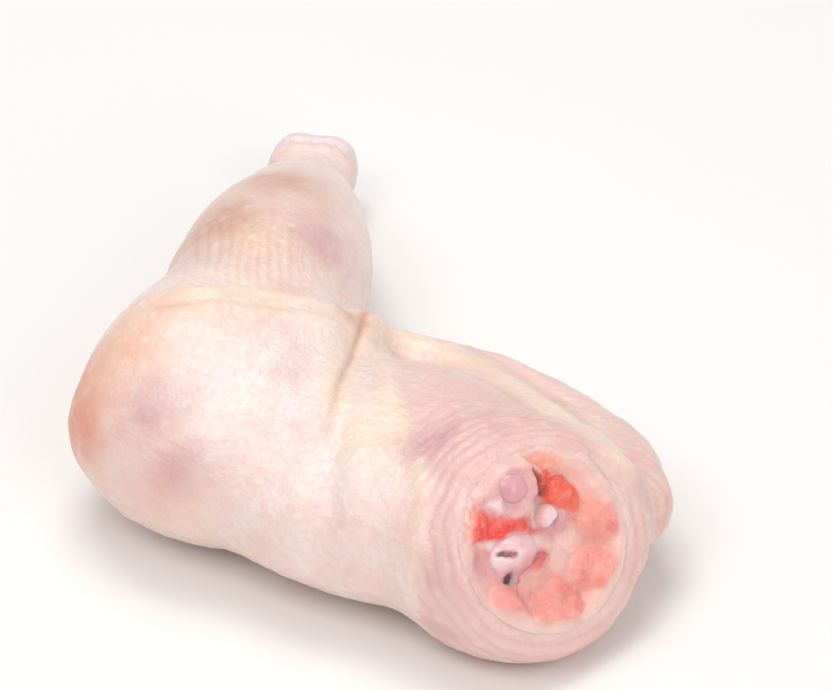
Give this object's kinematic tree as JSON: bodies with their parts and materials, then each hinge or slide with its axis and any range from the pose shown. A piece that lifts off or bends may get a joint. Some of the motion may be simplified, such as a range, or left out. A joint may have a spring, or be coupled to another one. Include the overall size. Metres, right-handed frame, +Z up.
{
  "type": "raw chicken leg",
  "caption": "Raw whole chicken leg with skin, thigh and drumstick bent at the knee, lying skin side up, cut across at the hip.",
  "frame": {"origin": "middle of the bounding box, on the plane the leg lies on", "axes": "+Z up, out of the skin side; +X towards the cut hip end; +Y along the drumstick towards the hock"},
  "size_m": [0.15, 0.1514, 0.0469],
  "materials": {
    "skin": "moist pale pink and cream poultry skin, soft gloss",
    "bone": "moist white and lilac cartilage over bone, glossy"
  },
  "bodies": {
    "root": {"leg": "skin", "thigh_bone": "bone"}
  },
  "joints": []
}
